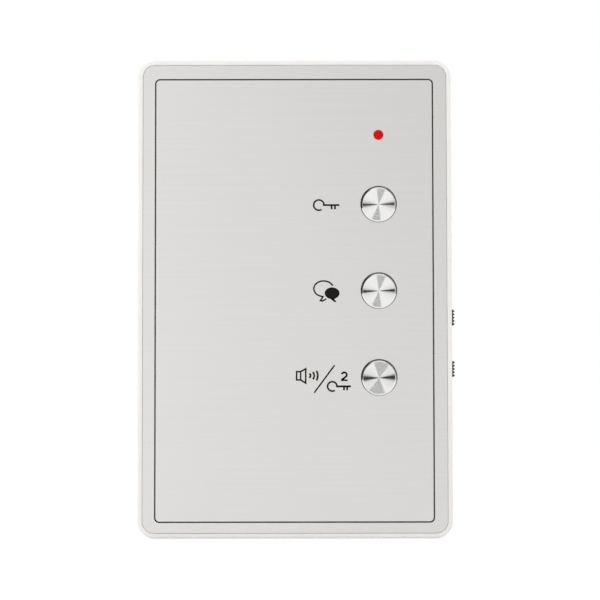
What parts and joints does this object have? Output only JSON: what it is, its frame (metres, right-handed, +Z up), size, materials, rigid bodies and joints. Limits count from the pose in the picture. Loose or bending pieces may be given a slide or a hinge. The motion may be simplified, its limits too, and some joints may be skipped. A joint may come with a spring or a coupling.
{
  "type": "audio intercom station",
  "caption": "Hands-free audio intercom wall station: a slim moulded housing with a brushed metal face plate, sprung push buttons, a call lamp and ribbed volume sliders, clipped to a wall base.",
  "frame": {"origin": "centre of the flush box screw pattern, in the plane of the wall", "axes": "+X to the right seen from the room, +Y into the wall, +Z up; the front faces -Y"},
  "size_m": [0.1013, 0.0243, 0.152],
  "materials": {
    "housing_plastic": "moulded, fine texture",
    "plate_metal": "brushed crosswise",
    "print_ink": "matte black print",
    "adhesive_foam": "double-sided sheet",
    "cap_metal": "face turned in fine circles",
    "natural_plastic": "moulded, unpainted",
    "spring_steel": "drawn wire",
    "switch_plastic": "moulded",
    "actuator_plastic": "moulded",
    "slider_plastic": "moulded, ribbed grip",
    "can_steel": "tinned sheet",
    "lamp_lens": "diffusing red resin",
    "lead_metal": "tinned",
    "board_laminate": "solder resist",
    "screw_steel": "zinc plated",
    "chip_epoxy": "moulded epoxy",
    "capacitor_sleeve": "shrink sleeve",
    "terminal_plastic": "moulded",
    "basket_steel": "pressed sheet",
    "magnet_iron": "plated yoke",
    "cone_paper": "pressed paper",
    "gasket_foam": "closed-cell foam",
    "wire_sheath": "extruded sheath",
    "capsule_metal": "drawn can",
    "boot_rubber": "moulded rubber",
    "base_plastic": "moulded, fine texture"
  },
  "bodies": {
    "station": {"front_housing": "housing_plastic", "face_plate": "plate_metal", "border_ink": "print_ink", "plate_adhesive": "adhesive_foam", "unlock_spring": "spring_steel", "talk_spring": "spring_steel", "auxiliary_spring": "spring_steel", "unlock_switch": "switch_plastic", "talk_switch": "switch_plastic", "auxiliary_switch": "switch_plastic", "call_volume_can": "can_steel", "talk_volume_can": "can_steel", "call_volume_base": "switch_plastic", "talk_volume_base": "switch_plastic", "call_lamp": "lamp_lens", "lamp_leads": "lead_metal", "lamp_spacer": "natural_plastic", "circuit_board": "board_laminate", "board_screws": "screw_steel", "controller_chip": "chip_epoxy", "amplifier_chip": "chip_epoxy", "capacitors": "capacitor_sleeve", "terminal_block": "terminal_plastic", "terminal_screws": "screw_steel", "speaker_basket": "basket_steel", "speaker_magnet": "magnet_iron", "speaker_cone": "cone_paper", "speaker_gasket": "gasket_foam", "speaker_screws": "screw_steel", "speaker_leads": "wire_sheath", "speaker_plug": "natural_plastic", "microphone": "capsule_metal", "microphone_boot": "boot_rubber", "microphone_leads": "wire_sheath", "microphone_plug": "natural_plastic", "wall_base": "base_plastic"},
    "unlock_button": {"unlock_cap": "cap_metal", "unlock_plunger": "natural_plastic", "unlock_actuator": "actuator_plastic"},
    "talk_button": {"talk_cap": "cap_metal", "talk_plunger": "natural_plastic", "talk_actuator": "actuator_plastic"},
    "auxiliary_button": {"auxiliary_cap": "cap_metal", "auxiliary_plunger": "natural_plastic", "auxiliary_actuator": "actuator_plastic"},
    "call_volume_slider": {"call_volume_knob": "slider_plastic"},
    "talk_volume_slider": {"talk_volume_knob": "slider_plastic"}
  },
  "joints": [
    {"name": "unlock_press", "type": "slide", "parent": "station", "child": "unlock_button", "axis": [0, 1, 0], "range_m": [0, 0.0008], "stiffness_N_per_m": 500, "springref_m": -0.001, "deforming": ["unlock_spring"]},
    {"name": "talk_press", "type": "slide", "parent": "station", "child": "talk_button", "axis": [0, 1, 0], "range_m": [0, 0.0008], "stiffness_N_per_m": 500, "springref_m": -0.001, "deforming": ["talk_spring"]},
    {"name": "auxiliary_press", "type": "slide", "parent": "station", "child": "auxiliary_button", "axis": [0, 1, 0], "range_m": [0, 0.0008], "stiffness_N_per_m": 500, "springref_m": -0.001, "deforming": ["auxiliary_spring"]},
    {"name": "call_volume_slide", "type": "slide", "parent": "station", "child": "call_volume_slider", "axis": [0, 0, 1], "range_m": [-0.002, 0.002]},
    {"name": "talk_volume_slide", "type": "slide", "parent": "station", "child": "talk_volume_slider", "axis": [0, 0, 1], "range_m": [-0.002, 0.002]}
  ]
}
